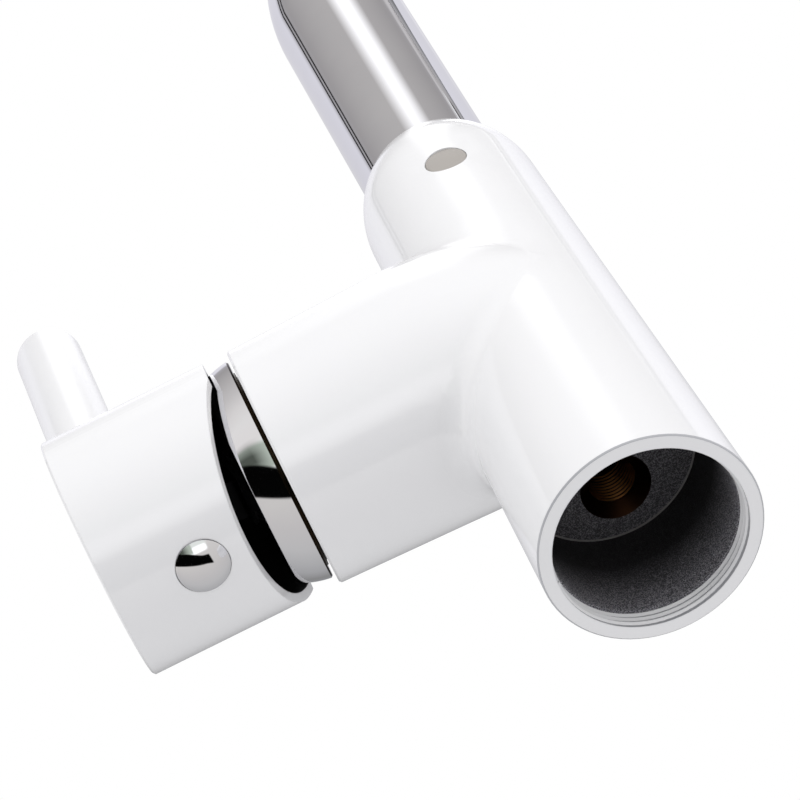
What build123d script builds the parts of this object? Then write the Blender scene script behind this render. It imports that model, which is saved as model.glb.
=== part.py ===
from build123d import *
import os
from math import acos, asin, cos, degrees, radians, sin, tan

os.makedirs("parts", exist_ok=True)

# Kitchen mixer tap, millimetres. Z runs up the body and the origin is the middle of its mouth.
# The branch with the cartridge and the handle points to +X, the spout swings about Z.

# body casting: the foot, the cone up to its shoulder, the domed head and the branch
mouth_r = 18.0
mouth_h = 4.5
foot_wall = 2.4
bevel_w = 0.3
bevel_h = 0.3
floor_z = 28.4
cast_step = 0.6
branch_z = 71.5
dome_z = 124.5
dome_h = 13.5
head_wall = 4.0
lip_w = 0.85
branch_flare = 0.85
branch_root_x = 20.0
branch_back_x = -8.0
branch_back_in = 2.2382
crease_r = 6.0
branch_chamfer = 0.4

# waterways in the casting
inlet_y = 6.9
inlet_r = 4.5
inlet_h = 12.0
inlet_sink = 2.2
inlet_way_r = 3.0
outlet_way_x = 9.0
outlet_way_l = 10.0
outlet_way_w = 6.0
port_y = 5.8
port_up = 4.5
port_r = 2.6
drain_down = 6.5
drain_r = 3.5

# spout tube, and the tail that turns in the head
tube_r = 13.8
tube_wall = 1.0
swivel_gap = 0.35
rise_top = 215.0
bend_r = 90.0
drop_l = 22.0
tail_step = 0.05
tail_wall = 3.45
solder_gap = 0.05
spigot_h = 9.0
glide_clear = 0.07
glide_depth = 0.85
glide_h = 4.0
glide_split = 1.0
ring_play = 0.05
o_ring_r = 1.15
o_ring_gap = 0.05
o_groove_depth = 2.05
o_groove_h = 3.0
tail_land = 3.2
stop_groove_depth = 1.65
stop_groove_h = 4.8
thrust_t = 1.15
thrust_gap = 0.05
thrust_bore_step = 0.4

# plugged hole and the screw that keeps the spout in
plug_z = 116.0
plug_bearing = 96.0
plug_r = 4.12
plug_t = 1.0
plug_deep = 1.35
plug_gap = 0.02
plug_clear = 0.08
plug_edge = 0.15
plug_peg_r = 1.0
plug_peg_l = 1.0
stop_hole_r = 2.5
stop_r = 2.45
stop_below = 0.1
stop_shank_gap = 0.35
stop_tip_gap = 0.4
stop_tip_r = 1.7
stop_hex = 2.5
stop_hex_depth = 1.3

# outlet of the spout
socket_h = 14.0
socket_wall = 1.75
socket_thread_h = 10.0
socket_ledge = 1.5
nozzle_h = 9.9
nozzle_gap = 0.1
nozzle_clear = 0.05
nozzle_spigot_h = 8.0
nozzle_wall = 1.65
nozzle_lip_w = 0.7
nozzle_lip_h = 1.5
nozzle_chamfer = 0.6
insert_h = 14.0
insert_wall = 1.2
grid_hole = 1.05
grid_pitch = 1.3
grid_count = 7
grid_h = 2.0
washer_w = 1.2

# cartridge, from the chamber floor outwards along the branch
chamber_x = 24.0
chamber_clear = 0.2
housing_r = 17.5
housing_wall = 1.5
seal_gap = 0.05
seal_depth = 1.4
seal_wall = 1.1
base_t = 3.95
base_rim = 2.0
peg_in = 4.4
peg_down = 3.0
peg_r = 2.0
peg_clear = 0.1
peg_l = 3.0
peg_spare = 0.55
seat_t = 1.0
seat_wall = 1.4
slide_clear = 0.1
fixed_t = 4.0
disc_gap = 0.02
disc_play = 0.25
moving_t = 3.48
pocket_w = 14.0
pocket_h = 10.4
pocket_down = 4.0
pocket_depth = 1.8
carrier_t = 3.0
carrier_boss_w = 15.2
carrier_boss_h = 11.0
rotor_r = 10.5
rotor_clear = 0.08
rotor_flange_t = 5.4
rotor_gap = 0.2
rotor_play = 0.3
snout_wall = 1.9
snout_h = 7.0
stem_play = 0.25

# stem and pivot
lift_arm = 13.5
lift_max = 25.0
pivot_up = 9.0
rotor_past_pivot = 5.0
ball_r = 2.8
ball_clear = 0.15
ball_bottom = 0.5
stem_neck_r = 2.0
stem_side = 8.0
stem_block = 5.5
stem_end_chamfer = 0.5
pin_r = 2.0
pin_clear = 0.05
pin_fit = 0.01
pin_short = 0.5

# retaining nut and dome ring
nut_thread_step = 1.3
nut_thread_h = 5.8
nut_clear = 0.05
nut_bore_gap = 0.5
nut_flange_step = 0.9
nut_flange_gap = 0.3
nut_notches = 6
nut_notch_w = 4.0
nut_notch_h = 1.8
ring_gap = 0.55
ring_edge = 0.35
ring_step = 0.6
ring_slope = 0.12
ring_dome_x = 1.3
ring_clear = 0.1
shell_wall = 1.8
shell_rise = 7.0
shell_t = 1.0
shell_hole_gap = 0.9

# handle
handle_turn = 9.7
cap_gap = 0.4
cap_wall = 1.8
cap_open = 5.0
cap_l = 33.55
cap_inside_l = 21.7
cap_edge = 0.35
cut_start = 2.5
cut_slope = 0.33
cut_over = 1.0
hub_r = 8.5
hub_l = 10.5
hub_bite = 1.5
boss_bite = 0.3
socket_clear = 0.03
socket_spare = 1.3
stem_in_cap = 4.0
screw_in = 6.0
screw_boss_r = 5.3
screw_hole_r = 2.5
screw_r = 2.45
screw_l = 8.0
screw_hex = 2.5
screw_hex_depth = 3.0
button_r = 5.1
button_clear = 0.1
button_deep = 0.6
button_rise = 2.3
button_edge = 0.5
button_peg_r = 2.4
button_peg_l = 4.0
lever_in = 6.15
lever_lean = 1.06
lever_r = 6.9
lever_foot_r = 4.8
lever_spot_gap = 0.5
lever_foot_l = 6.1
lever_l = 82.1
lever_tip_fillet = 2.0
lever_thread_r = 4.0
lever_thread_l = 10.8
lever_hole_clear = 0.05
lever_hole_spare = 0.6

# casting, worked out
foot_r = mouth_r + foot_wall
bevel_r = foot_r + bevel_w
cast_r = mouth_r - cast_step
inlet_sink_r = inlet_r + inlet_sink
spout_bore_r = tube_r + swivel_gap
shoulder_r = spout_bore_r + head_wall
column_r = bevel_r + (shoulder_r - bevel_r) * (branch_z - bevel_h) / (dome_z - bevel_h)
branch_back_r = column_r - branch_back_in
lip_r = spout_bore_r + lip_w
body_top = dome_z + dome_h
chamber_r = housing_r + chamber_clear
nut_thread_r = chamber_r + nut_thread_step

# spout, worked out
tube_bore_r = tube_r - tube_wall
spigot_r = tube_bore_r - solder_gap
tail_r = tube_r + tail_step
tail_bore_r = tail_r - tail_wall
glide_r = spout_bore_r - glide_clear
glide_groove_r = tail_r - glide_depth
o_groove_r = tail_r - o_groove_depth
o_ring_mid = spout_bore_r - o_ring_gap - o_ring_r
stop_groove_r = tail_r - stop_groove_depth
stop_groove_z = plug_z - stop_groove_h / 2
o_groove_step = o_groove_h + tail_land
o_groove_zs = (stop_groove_z - 2 * o_groove_step, stop_groove_z - o_groove_step)
glide_z = stop_groove_z + stop_groove_h + tail_land
tube_start = glide_z + glide_h + tail_land
tail_bottom = o_groove_zs[0] - tail_land
thrust_z = tail_bottom - thrust_t
spout_floor_z = thrust_z - thrust_gap
thrust_r = spout_bore_r - slide_clear
thrust_hole_r = tail_bore_r + thrust_bore_step
tube_end = rise_top - drop_l
socket_thread_r = spigot_r - socket_wall
socket_bore_r = socket_thread_r - socket_ledge
nozzle_top = tube_end - nozzle_gap
nozzle_bottom = nozzle_top - nozzle_h
nozzle_spigot_r = socket_thread_r - nozzle_clear
nozzle_bore_r = nozzle_spigot_r - nozzle_wall
nozzle_lip_r = nozzle_bore_r - nozzle_lip_w
insert_r = nozzle_bore_r - slide_clear
washer_r = nozzle_spigot_r - nozzle_clear

# plug and screw, worked out from the body's radius at their height
plug_surface = bevel_r + (shoulder_r - bevel_r) * (plug_z - bevel_h) / (dome_z - bevel_h)
plug_seat = plug_surface - plug_deep
plug_hole_r = plug_r + plug_clear
stop_top = plug_seat - stop_below
stop_shank = spout_bore_r + stop_shank_gap
stop_tip = stop_groove_r + stop_tip_gap

# cartridge, worked out
base_r = housing_r - slide_clear
base_x = chamber_x + seal_gap
base_step_x = base_x + base_t
housing_x = base_step_x + seal_gap
fixed_x = base_step_x + seat_t
base_end = fixed_x + base_rim
housing_bore_r = housing_r - housing_wall
base_spigot_r = housing_bore_r - slide_clear
fixed_r = base_spigot_r - seat_wall
disc_travel = lift_arm * sin(radians(lift_max))
disc_offset = disc_travel / 2
moving_x = fixed_x + fixed_t + disc_gap
carrier_x = moving_x + moving_t
moving_r = housing_bore_r - disc_offset - disc_play
carrier_r = moving_r + slide_clear
peg_y = base_r - peg_in
peg_hole_r = peg_r + peg_clear
rotor_flange_x = carrier_x + carrier_t + rotor_gap
rotor_shoulder_x = rotor_flange_x + rotor_flange_t
rotor_flange_r = housing_bore_r - rotor_play
rotor_slot_w = carrier_boss_w + 2 * slide_clear
carrier_boss_end = rotor_shoulder_x - slide_clear
housing_wall_x = rotor_shoulder_x + slide_clear
housing_end = rotor_shoulder_x + snout_wall
snout_r = rotor_r + snout_wall
snout_end = housing_end + snout_h
pivot_x = housing_end + pivot_up
ball_x = pivot_x - lift_arm
rotor_end = pivot_x + rotor_past_pivot
stem_window_w = stem_side + 2 * slide_clear
stem_window_up = disc_travel + ball_r + slide_clear
stem_swing_down = rotor_past_pivot * tan(radians(lift_max)) + stem_side / 2 / cos(radians(lift_max))
stem_window_down = stem_swing_down + stem_play
stem_block_x = pivot_x - stem_block
pin_l = 2 * (rotor_r - pin_short)

# branch, nut and dome ring, worked out
nut_thread_x = housing_end - nut_bore_gap
branch_end = nut_thread_x + nut_thread_h
nut_bore_r = snout_r + nut_bore_gap
nut_flange_x = branch_end + nut_flange_gap
nut_flange_r = nut_thread_r + nut_flange_step
nut_end = pivot_x
ring_x = branch_end + ring_gap
ring_edge_x = ring_x + ring_edge
ring_bore_r = nut_flange_r + ring_clear
shell_r = ring_bore_r + shell_wall
ring_r = shell_r + ring_step
shell_hole_r = rotor_r + shell_hole_gap
shell_out_angle = degrees(asin(shell_hole_r / shell_r))
shell_top_angle = degrees(acos(ring_dome_x / shell_rise))
shell_in_angle = degrees(asin(shell_hole_r / ring_bore_r))
cap_bore_r = shell_r + cap_gap
cap_r = cap_bore_r + cap_wall
branch_r = cap_r
branch_root_r = branch_r + branch_flare

# handle, worked out
cap_rim_x = branch_end + cap_open
cap_end = cap_rim_x + cap_l
cap_wall_x = cap_rim_x + cap_inside_l
hub_x = cap_wall_x - hub_l
socket_side = stem_side + 2 * socket_clear
stem_end = cap_wall_x + stem_in_cap
socket_end = stem_end + socket_spare
screw_x = cap_wall_x - screw_in
screw_bottom = stem_side / 2
screw_top = screw_bottom + screw_l
button_seat = cap_r - button_deep
button_seat_r = button_r + button_clear
crown_h = button_rise - button_edge
crown_r = (button_r**2 + crown_h**2) / (2 * crown_h)
crown_angle = degrees(asin(button_r / crown_r))
lever_x = cap_end - lever_in
lever_foot = cap_r - button_deep
lever_foot_end = lever_foot + lever_foot_l
lever_tip = lever_foot + lever_l
lever_spot_r = lever_foot_r + lever_spot_gap
lever_thread_end = lever_foot - lever_thread_l
lever_hole_r = lever_thread_r + lever_hole_clear
lever_hole_end = lever_thread_end - lever_hole_spare

# axes and planes
branch_axis = Axis((0, 0, branch_z), (1, 0, 0))
branch_plane = Plane(origin=(0, 0, branch_z), x_dir=(1, 0, 0), z_dir=(0, -1, 0))
up = Vector(0, -sin(radians(handle_turn)), cos(radians(handle_turn)))
side = Vector(0, cos(radians(handle_turn)), sin(radians(handle_turn)))
handle_side_plane = Plane(origin=(0, 0, branch_z), x_dir=(1, 0, 0), z_dir=-side)
plug_way = Vector(cos(radians(plug_bearing)), sin(radians(plug_bearing)), 0)
lever_way = up * cos(radians(lever_lean)) + Vector(1, 0, 0) * sin(radians(lever_lean))


def branch_at(x):
    # plane across the branch, drawn as (Y, Z) from its axis
    return Plane(origin=(x, 0, branch_z), x_dir=(0, 1, 0), z_dir=(1, 0, 0))


def handle_at(x):
    # the same plane in the turned frame of the handle, drawn as (side, up)
    return Plane(origin=(x, 0, branch_z), x_dir=side, z_dir=(1, 0, 0))


def plug_at(r):
    # plane across the plug's hole, r from the body axis, facing outwards
    return Plane(origin=plug_way * r + Vector(0, 0, plug_z), x_dir=(0, 0, 1), z_dir=plug_way)


def button_at(r):
    # plane across the button's hole, r from the branch axis, facing away from the lever
    return Plane(origin=Vector(screw_x, 0, branch_z) - up * r, x_dir=(1, 0, 0), z_dir=-up)


def lever_at(r):
    # plane across the lever, r along it from the branch axis
    return Plane(origin=Vector(lever_x, 0, branch_z) + lever_way * r, x_dir=side, z_dir=lever_way)


# body casting: conical body with a domed head, branch for the cartridge, hollow foot
with BuildPart() as body_casting:
    with BuildSketch(Plane.XZ):
        with BuildLine():
            Polyline((0, 0), (foot_r, 0), (bevel_r, bevel_h), (shoulder_r, dome_z))
            TangentArc((shoulder_r, dome_z), (lip_r, body_top), tangent=(0, 1))
            Polyline((lip_r, body_top), (0, body_top), (0, 0))
        make_face()
    revolve(axis=Axis.Z)
    with BuildSketch(branch_plane):
        with BuildLine():
            TangentArc(
                (branch_root_x, branch_root_r),
                (branch_back_x, branch_back_r),
                tangent=(branch_root_x - branch_end, branch_flare),
            )
            Polyline(
                (branch_root_x, branch_root_r),
                (branch_end, branch_r),
                (branch_end, 0),
                (branch_back_x, 0),
                (branch_back_x, branch_back_r),
            )
        make_face()
    revolve(axis=branch_axis)
    creases = body_casting.edges().filter_by(
        lambda e: e.geom_type not in (GeomType.LINE, GeomType.CIRCLE, GeomType.ELLIPSE)
    )
    fillet(creases, crease_r)
    rim_edges = body_casting.edges().filter_by(GeomType.CIRCLE)
    rim_edges = rim_edges.filter_by_position(Axis.X, branch_end - branch_chamfer, branch_end + branch_chamfer)
    chamfer(rim_edges, branch_chamfer)
    # hollow foot with the thread at its mouth
    Cylinder(mouth_r, mouth_h, align=(Align.CENTER, Align.CENTER, Align.MIN), mode=Mode.SUBTRACT)
    Cylinder(cast_r, floor_z, align=(Align.CENTER, Align.CENTER, Align.MIN), mode=Mode.SUBTRACT)
    # hot and cold inlets, drilled up and then across to the chamber
    with Locations((0, -inlet_y, floor_z), (0, inlet_y, floor_z)):
        Cone(
            inlet_sink_r,
            inlet_r,
            inlet_sink,
            align=(Align.CENTER, Align.CENTER, Align.MIN),
            mode=Mode.SUBTRACT,
        )
        Cylinder(inlet_r, inlet_h, align=(Align.CENTER, Align.CENTER, Align.MIN), mode=Mode.SUBTRACT)
        Cylinder(
            inlet_way_r,
            branch_z + port_up + port_r - floor_z,
            align=(Align.CENTER, Align.CENTER, Align.MIN),
            mode=Mode.SUBTRACT,
        )
    with BuildSketch(branch_at(0)):
        with Locations((-port_y, port_up), (port_y, port_up)):
            Circle(port_r)
    extrude(amount=chamber_x, mode=Mode.SUBTRACT)
    # mixed water: out of the chamber floor, then up a slot to the spout
    with BuildSketch(branch_at(outlet_way_x)):
        with Locations((0, -drain_down)):
            Circle(drain_r)
    extrude(amount=chamber_x - outlet_way_x, mode=Mode.SUBTRACT)
    with BuildSketch(Plane.XY.offset(branch_z - drain_down - drain_r)):
        with Locations((outlet_way_x, 0)):
            SlotOverall(outlet_way_l, outlet_way_w)
    extrude(amount=spout_floor_z - branch_z + drain_down + drain_r, mode=Mode.SUBTRACT)
    # chamber, nut thread and the two holes that locate the cartridge
    with BuildSketch(branch_at(chamber_x)):
        Circle(chamber_r)
    extrude(amount=branch_end - chamber_x, mode=Mode.SUBTRACT)
    with BuildSketch(branch_at(nut_thread_x)):
        Circle(nut_thread_r)
    extrude(amount=branch_end - nut_thread_x, mode=Mode.SUBTRACT)
    with BuildSketch(branch_at(chamber_x)):
        with Locations((-peg_y, -peg_down), (peg_y, -peg_down)):
            Circle(peg_hole_r)
    extrude(amount=-peg_l - peg_spare, mode=Mode.SUBTRACT)
    # bore of the spout and the hole of its retaining screw
    with BuildSketch(Plane.XY.offset(spout_floor_z)):
        Circle(spout_bore_r)
    extrude(amount=body_top - spout_floor_z, mode=Mode.SUBTRACT)
    with BuildSketch(plug_at(plug_seat)):
        Circle(plug_hole_r)
    extrude(amount=shoulder_r, mode=Mode.SUBTRACT)
    with BuildSketch(plug_at(stop_tip)):
        Circle(stop_hole_r)
    extrude(amount=plug_seat - stop_tip, mode=Mode.SUBTRACT)
body_casting.part.label = "body_casting"
export_step(body_casting.part, "parts/body_casting.step")

# hole plug: grey snap-in disc over the retaining screw
with BuildPart() as hole_plug:
    with BuildSketch(plug_at(plug_seat + plug_gap)):
        Circle(plug_r)
    extrude(amount=plug_t)
    chamfer(hole_plug.faces().sort_by(Axis.Y)[-1].edges(), plug_edge)
    with BuildSketch(plug_at(plug_seat + plug_gap)):
        Circle(plug_peg_r)
    extrude(amount=-plug_peg_l)
hole_plug.part.label = "hole_plug"
export_step(hole_plug.part, "parts/hole_plug.step")

# spout retaining screw: dog-point set screw that rides in the tail's groove
with BuildPart() as spout_retaining_screw:
    with BuildSketch(plug_at(stop_shank)):
        Circle(stop_r)
    extrude(amount=stop_top - stop_shank)
    with BuildSketch(plug_at(stop_tip)):
        Circle(stop_tip_r)
    extrude(amount=stop_shank - stop_tip)
    with BuildSketch(plug_at(stop_top)):
        RegularPolygon(stop_hex / 2, 6, major_radius=False)
    extrude(amount=-stop_hex_depth, mode=Mode.SUBTRACT)
spout_retaining_screw.part.label = "spout_retaining_screw"
export_step(spout_retaining_screw.part, "parts/spout_retaining_screw.step")

# spout tube: swan neck, straight rise, half turn and a short drop
with BuildPart() as spout_tube:
    with BuildLine():
        Line((0, 0, tube_start), (0, 0, rise_top))
        ThreePointArc((0, 0, rise_top), (-bend_r, 0, rise_top + bend_r), (-2 * bend_r, 0, rise_top))
        Line((-2 * bend_r, 0, rise_top), (-2 * bend_r, 0, tube_end))
    with BuildSketch(Plane.XY.offset(tube_start)):
        Circle(tube_r)
        Circle(tube_bore_r, mode=Mode.SUBTRACT)
    sweep()
spout_tube.part.label = "spout_tube"
export_step(spout_tube.part, "parts/spout_tube.step")

# spout tail: brass bush soldered into the tube, grooved for its rings and its screw
with BuildPart() as spout_tail:
    with BuildSketch(Plane.XY.offset(tail_bottom)):
        Circle(tail_r)
    extrude(amount=tube_start - tail_bottom)
    with BuildSketch(Plane.XY.offset(tube_start)):
        Circle(spigot_r)
    extrude(amount=spigot_h)
    with BuildSketch(Plane.XY.offset(stop_groove_z)):
        Circle(tail_r)
        Circle(stop_groove_r, mode=Mode.SUBTRACT)
    extrude(amount=stop_groove_h, mode=Mode.SUBTRACT)
    with BuildSketch(Plane.XY.offset(glide_z)):
        Circle(tail_r)
        Circle(glide_groove_r, mode=Mode.SUBTRACT)
    extrude(amount=glide_h, mode=Mode.SUBTRACT)
    for groove_z in o_groove_zs:
        with BuildSketch(Plane.XY.offset(groove_z)):
            Circle(tail_r)
            Circle(o_groove_r, mode=Mode.SUBTRACT)
        extrude(amount=o_groove_h, mode=Mode.SUBTRACT)
    with BuildSketch(Plane.XY.offset(tail_bottom)):
        Circle(tail_bore_r)
    extrude(amount=tube_start + spigot_h - tail_bottom, mode=Mode.SUBTRACT)
spout_tail.part.label = "spout_tail"
export_step(spout_tail.part, "parts/spout_tail.step")

# two O-rings that seal the tail in its bore
with BuildPart() as tail_o_rings:
    with BuildSketch(Plane.XZ):
        with Locations(*[(o_ring_mid, groove_z + o_groove_h / 2) for groove_z in o_groove_zs]):
            Circle(o_ring_r)
    revolve(axis=Axis.Z)
tail_o_rings.part.label = "tail_o_rings"
export_step(tail_o_rings.part, "parts/tail_o_rings.step")

# split glide ring that centres the tail at the top of the bore
with BuildPart() as glide_ring:
    with BuildSketch(Plane.XY.offset(glide_z + ring_play)):
        Circle(glide_r)
        Circle(glide_groove_r + ring_play, mode=Mode.SUBTRACT)
        with Locations((glide_r, 0)):
            Rectangle(2 * (glide_r - glide_groove_r) + glide_split, glide_split, mode=Mode.SUBTRACT)
    extrude(amount=glide_h - 2 * ring_play)
glide_ring.part.label = "glide_ring"
export_step(glide_ring.part, "parts/glide_ring.step")

# thrust ring under the tail
with BuildPart() as thrust_ring:
    with BuildSketch(Plane.XY.offset(thrust_z)):
        Circle(thrust_r)
        Circle(thrust_hole_r, mode=Mode.SUBTRACT)
    extrude(amount=tail_bottom - thrust_z)
thrust_ring.part.label = "thrust_ring"
export_step(thrust_ring.part, "parts/thrust_ring.step")

# outlet socket: threaded brass ring soldered inside the end of the tube
with BuildPart() as outlet_socket:
    with Locations((-2 * bend_r, 0, tube_end)):
        Cylinder(spigot_r, socket_h, align=(Align.CENTER, Align.CENTER, Align.MIN))
        Cylinder(
            socket_thread_r,
            socket_thread_h,
            align=(Align.CENTER, Align.CENTER, Align.MIN),
            mode=Mode.SUBTRACT,
        )
        Cylinder(socket_bore_r, socket_h, align=(Align.CENTER, Align.CENTER, Align.MIN), mode=Mode.SUBTRACT)
outlet_socket.part.label = "outlet_socket"
export_step(outlet_socket.part, "parts/outlet_socket.step")

# aerator housing: chrome collar screwed into the outlet socket
with BuildPart() as aerator_housing:
    with Locations((-2 * bend_r, 0, nozzle_bottom)):
        Cylinder(tube_r, nozzle_h, align=(Align.CENTER, Align.CENTER, Align.MIN))
    chamfer(aerator_housing.edges().group_by(Axis.Z)[0], nozzle_chamfer)
    with Locations((-2 * bend_r, 0, nozzle_top)):
        Cylinder(nozzle_spigot_r, nozzle_spigot_h, align=(Align.CENTER, Align.CENTER, Align.MIN))
    with Locations((-2 * bend_r, 0, nozzle_bottom)):
        Cylinder(
            nozzle_lip_r,
            nozzle_h,
            align=(Align.CENTER, Align.CENTER, Align.MIN),
            mode=Mode.SUBTRACT,
        )
    with Locations((-2 * bend_r, 0, nozzle_bottom + nozzle_lip_h)):
        Cylinder(
            nozzle_bore_r,
            nozzle_h + nozzle_spigot_h,
            align=(Align.CENTER, Align.CENTER, Align.MIN),
            mode=Mode.SUBTRACT,
        )
aerator_housing.part.label = "aerator_housing"
export_step(aerator_housing.part, "parts/aerator_housing.step")

# aerator insert: plastic cup with a honeycomb grid at its foot
with BuildPart() as aerator_insert:
    with Locations((-2 * bend_r, 0, nozzle_bottom + nozzle_lip_h)):
        Cylinder(insert_r, insert_h, align=(Align.CENTER, Align.CENTER, Align.MIN))
    with Locations((-2 * bend_r, 0, nozzle_bottom + nozzle_lip_h + grid_h)):
        Cylinder(
            insert_r - insert_wall,
            insert_h,
            align=(Align.CENTER, Align.CENTER, Align.MIN),
            mode=Mode.SUBTRACT,
        )
    with BuildSketch(Plane(origin=(-2 * bend_r, 0, nozzle_bottom + nozzle_lip_h))):
        with HexLocations(grid_pitch, grid_count, grid_count):
            RegularPolygon(grid_hole, 6)
        Circle(insert_r - insert_wall - slide_clear, mode=Mode.INTERSECT)
    extrude(amount=grid_h, mode=Mode.SUBTRACT)
aerator_insert.part.label = "aerator_insert"
export_step(aerator_insert.part, "parts/aerator_insert.step")

# flat rubber washer between the aerator housing and the socket's shoulder
with BuildPart() as aerator_washer:
    with BuildSketch(Plane.XY.offset(nozzle_top + nozzle_spigot_h)):
        with Locations((-2 * bend_r, 0)):
            Circle(washer_r)
            Circle(washer_r - washer_w, mode=Mode.SUBTRACT)
    extrude(amount=tube_end + socket_thread_h - nozzle_top - nozzle_spigot_h)
aerator_washer.part.label = "aerator_washer"
export_step(aerator_washer.part, "parts/aerator_washer.step")

# cartridge base: ports, seal grooves, two locating pegs and the seat of the fixed disc
with BuildPart() as cartridge_base:
    with BuildSketch(branch_at(base_x)):
        Circle(base_r)
    extrude(amount=base_step_x - base_x)
    with BuildSketch(branch_at(base_step_x)):
        Circle(base_spigot_r)
    extrude(amount=base_end - base_step_x)
    with BuildSketch(branch_at(fixed_x)):
        Circle(fixed_r + slide_clear / 2)
    extrude(amount=base_end - fixed_x, mode=Mode.SUBTRACT)
    with BuildSketch(branch_at(base_x)):
        with Locations((-peg_y, -peg_down), (peg_y, -peg_down)):
            Circle(peg_r)
    extrude(amount=-peg_l)
    with BuildSketch(branch_at(base_x)):
        with Locations((-port_y, port_up), (port_y, port_up)):
            Circle(port_r + seal_wall)
        with Locations((0, -drain_down)):
            Circle(drain_r + seal_wall)
    extrude(amount=seal_depth, mode=Mode.SUBTRACT)
    with BuildSketch(branch_at(base_x)):
        with Locations((-port_y, port_up), (port_y, port_up)):
            Circle(port_r)
        with Locations((0, -drain_down)):
            Circle(drain_r)
    extrude(amount=fixed_x - base_x, mode=Mode.SUBTRACT)
cartridge_base.part.label = "cartridge_base"
export_step(cartridge_base.part, "parts/cartridge_base.step")

# three port seals between the chamber floor and the base
with BuildPart() as base_seals:
    with BuildSketch(branch_at(chamber_x)):
        with Locations((-port_y, port_up), (port_y, port_up)):
            Circle(port_r + seal_wall - seal_gap)
            Circle(port_r, mode=Mode.SUBTRACT)
        with Locations((0, -drain_down)):
            Circle(drain_r + seal_wall - seal_gap)
            Circle(drain_r, mode=Mode.SUBTRACT)
    extrude(amount=base_x + seal_depth - chamber_x)
base_seals.part.label = "base_seals"
export_step(base_seals.part, "parts/base_seals.step")

# fixed ceramic disc with the three ports
with BuildPart() as fixed_disc:
    with BuildSketch(branch_at(fixed_x)):
        Circle(fixed_r)
        with Locations((-port_y, port_up), (port_y, port_up)):
            Circle(port_r, mode=Mode.SUBTRACT)
        with Locations((0, -drain_down)):
            Circle(drain_r, mode=Mode.SUBTRACT)
    extrude(amount=fixed_t)
fixed_disc.part.label = "fixed_disc"
export_step(fixed_disc.part, "parts/fixed_disc.step")

# moving ceramic disc, shut at rest, with the mixing pocket in its face
with BuildPart() as moving_disc:
    with BuildSketch(handle_at(moving_x)):
        with Locations((0, -disc_offset)):
            Circle(moving_r)
    extrude(amount=moving_t)
    with BuildSketch(handle_at(moving_x)):
        with Locations((0, -disc_offset - pocket_down)):
            SlotOverall(pocket_w, pocket_h)
    extrude(amount=pocket_depth, mode=Mode.SUBTRACT)
moving_disc.part.label = "moving_disc"
export_step(moving_disc.part, "parts/moving_disc.step")

# disc carrier: drives the moving disc, with the socket of the stem's ball
with BuildPart() as disc_carrier:
    with BuildSketch(handle_at(carrier_x)):
        with Locations((0, -disc_offset)):
            Circle(carrier_r)
    extrude(amount=carrier_t)
    with BuildSketch(handle_at(carrier_x + carrier_t)):
        Rectangle(carrier_boss_w, carrier_boss_h)
    extrude(amount=carrier_boss_end - carrier_x - carrier_t)
    with BuildSketch(handle_at(ball_x - ball_r - ball_bottom)):
        Circle(ball_r + ball_clear)
    extrude(amount=carrier_boss_end - ball_x + ball_r + ball_bottom, mode=Mode.SUBTRACT)
disc_carrier.part.label = "disc_carrier"
export_step(disc_carrier.part, "parts/disc_carrier.step")

# cartridge housing: plastic cup with the snout that guides the rotor
with BuildPart() as cartridge_housing:
    with BuildSketch(branch_plane):
        with BuildLine():
            Polyline(
                (housing_x, housing_bore_r),
                (housing_x, housing_r),
                (housing_end, housing_r),
                (housing_end, snout_r),
                (snout_end, snout_r),
                (snout_end, rotor_r + rotor_clear),
                (housing_wall_x, rotor_r + rotor_clear),
                (housing_wall_x, housing_bore_r),
                close=True,
            )
        make_face()
    revolve(axis=branch_axis)
cartridge_housing.part.label = "cartridge_housing"
export_step(cartridge_housing.part, "parts/cartridge_housing.step")

# rotor: turns in the snout, guides the carrier and holds the stem's pivot pin
with BuildPart() as rotor:
    with BuildSketch(handle_at(rotor_flange_x)):
        Circle(rotor_flange_r)
        with Locations((0, disc_travel / 2)):
            Rectangle(rotor_slot_w, carrier_boss_h + disc_travel + 2 * rotor_play, mode=Mode.SUBTRACT)
    extrude(amount=rotor_shoulder_x - rotor_flange_x)
    with BuildSketch(handle_at(rotor_shoulder_x)):
        Circle(rotor_r)
        with Locations((0, (stem_window_up - stem_window_down) / 2)):
            Rectangle(stem_window_w, stem_window_up + stem_window_down, mode=Mode.SUBTRACT)
    extrude(amount=rotor_end - rotor_shoulder_x)
    with BuildSketch(handle_side_plane):
        with Locations((pivot_x, 0)):
            Circle(pin_r)
    extrude(amount=rotor_r, both=True, mode=Mode.SUBTRACT)
rotor.part.label = "rotor"
export_step(rotor.part, "parts/rotor.step")

# pivot pin across the rotor
with BuildPart() as pivot_pin:
    with BuildSketch(handle_side_plane):
        with Locations((pivot_x, 0)):
            Circle(pin_r - pin_fit)
    extrude(amount=pin_l / 2, both=True)
pivot_pin.part.label = "pivot_pin"
export_step(pivot_pin.part, "parts/pivot_pin.step")

# stem: square lever with a ball at its inner end
with BuildPart() as stem:
    with BuildSketch(handle_at(stem_block_x)):
        Rectangle(stem_side, stem_side)
    extrude(amount=stem_end - stem_block_x)
    chamfer(stem.faces().sort_by(Axis.X)[-1].edges(), stem_end_chamfer)
    with BuildSketch(handle_at(ball_x)):
        Circle(stem_neck_r)
    extrude(amount=stem_block_x - ball_x)
    with Locations((ball_x, 0, branch_z)):
        Sphere(ball_r)
    with BuildSketch(handle_side_plane):
        with Locations((pivot_x, 0)):
            Circle(pin_r + pin_clear)
    extrude(amount=stem_side, both=True, mode=Mode.SUBTRACT)
stem.part.label = "stem"
export_step(stem.part, "parts/stem.step")

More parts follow.
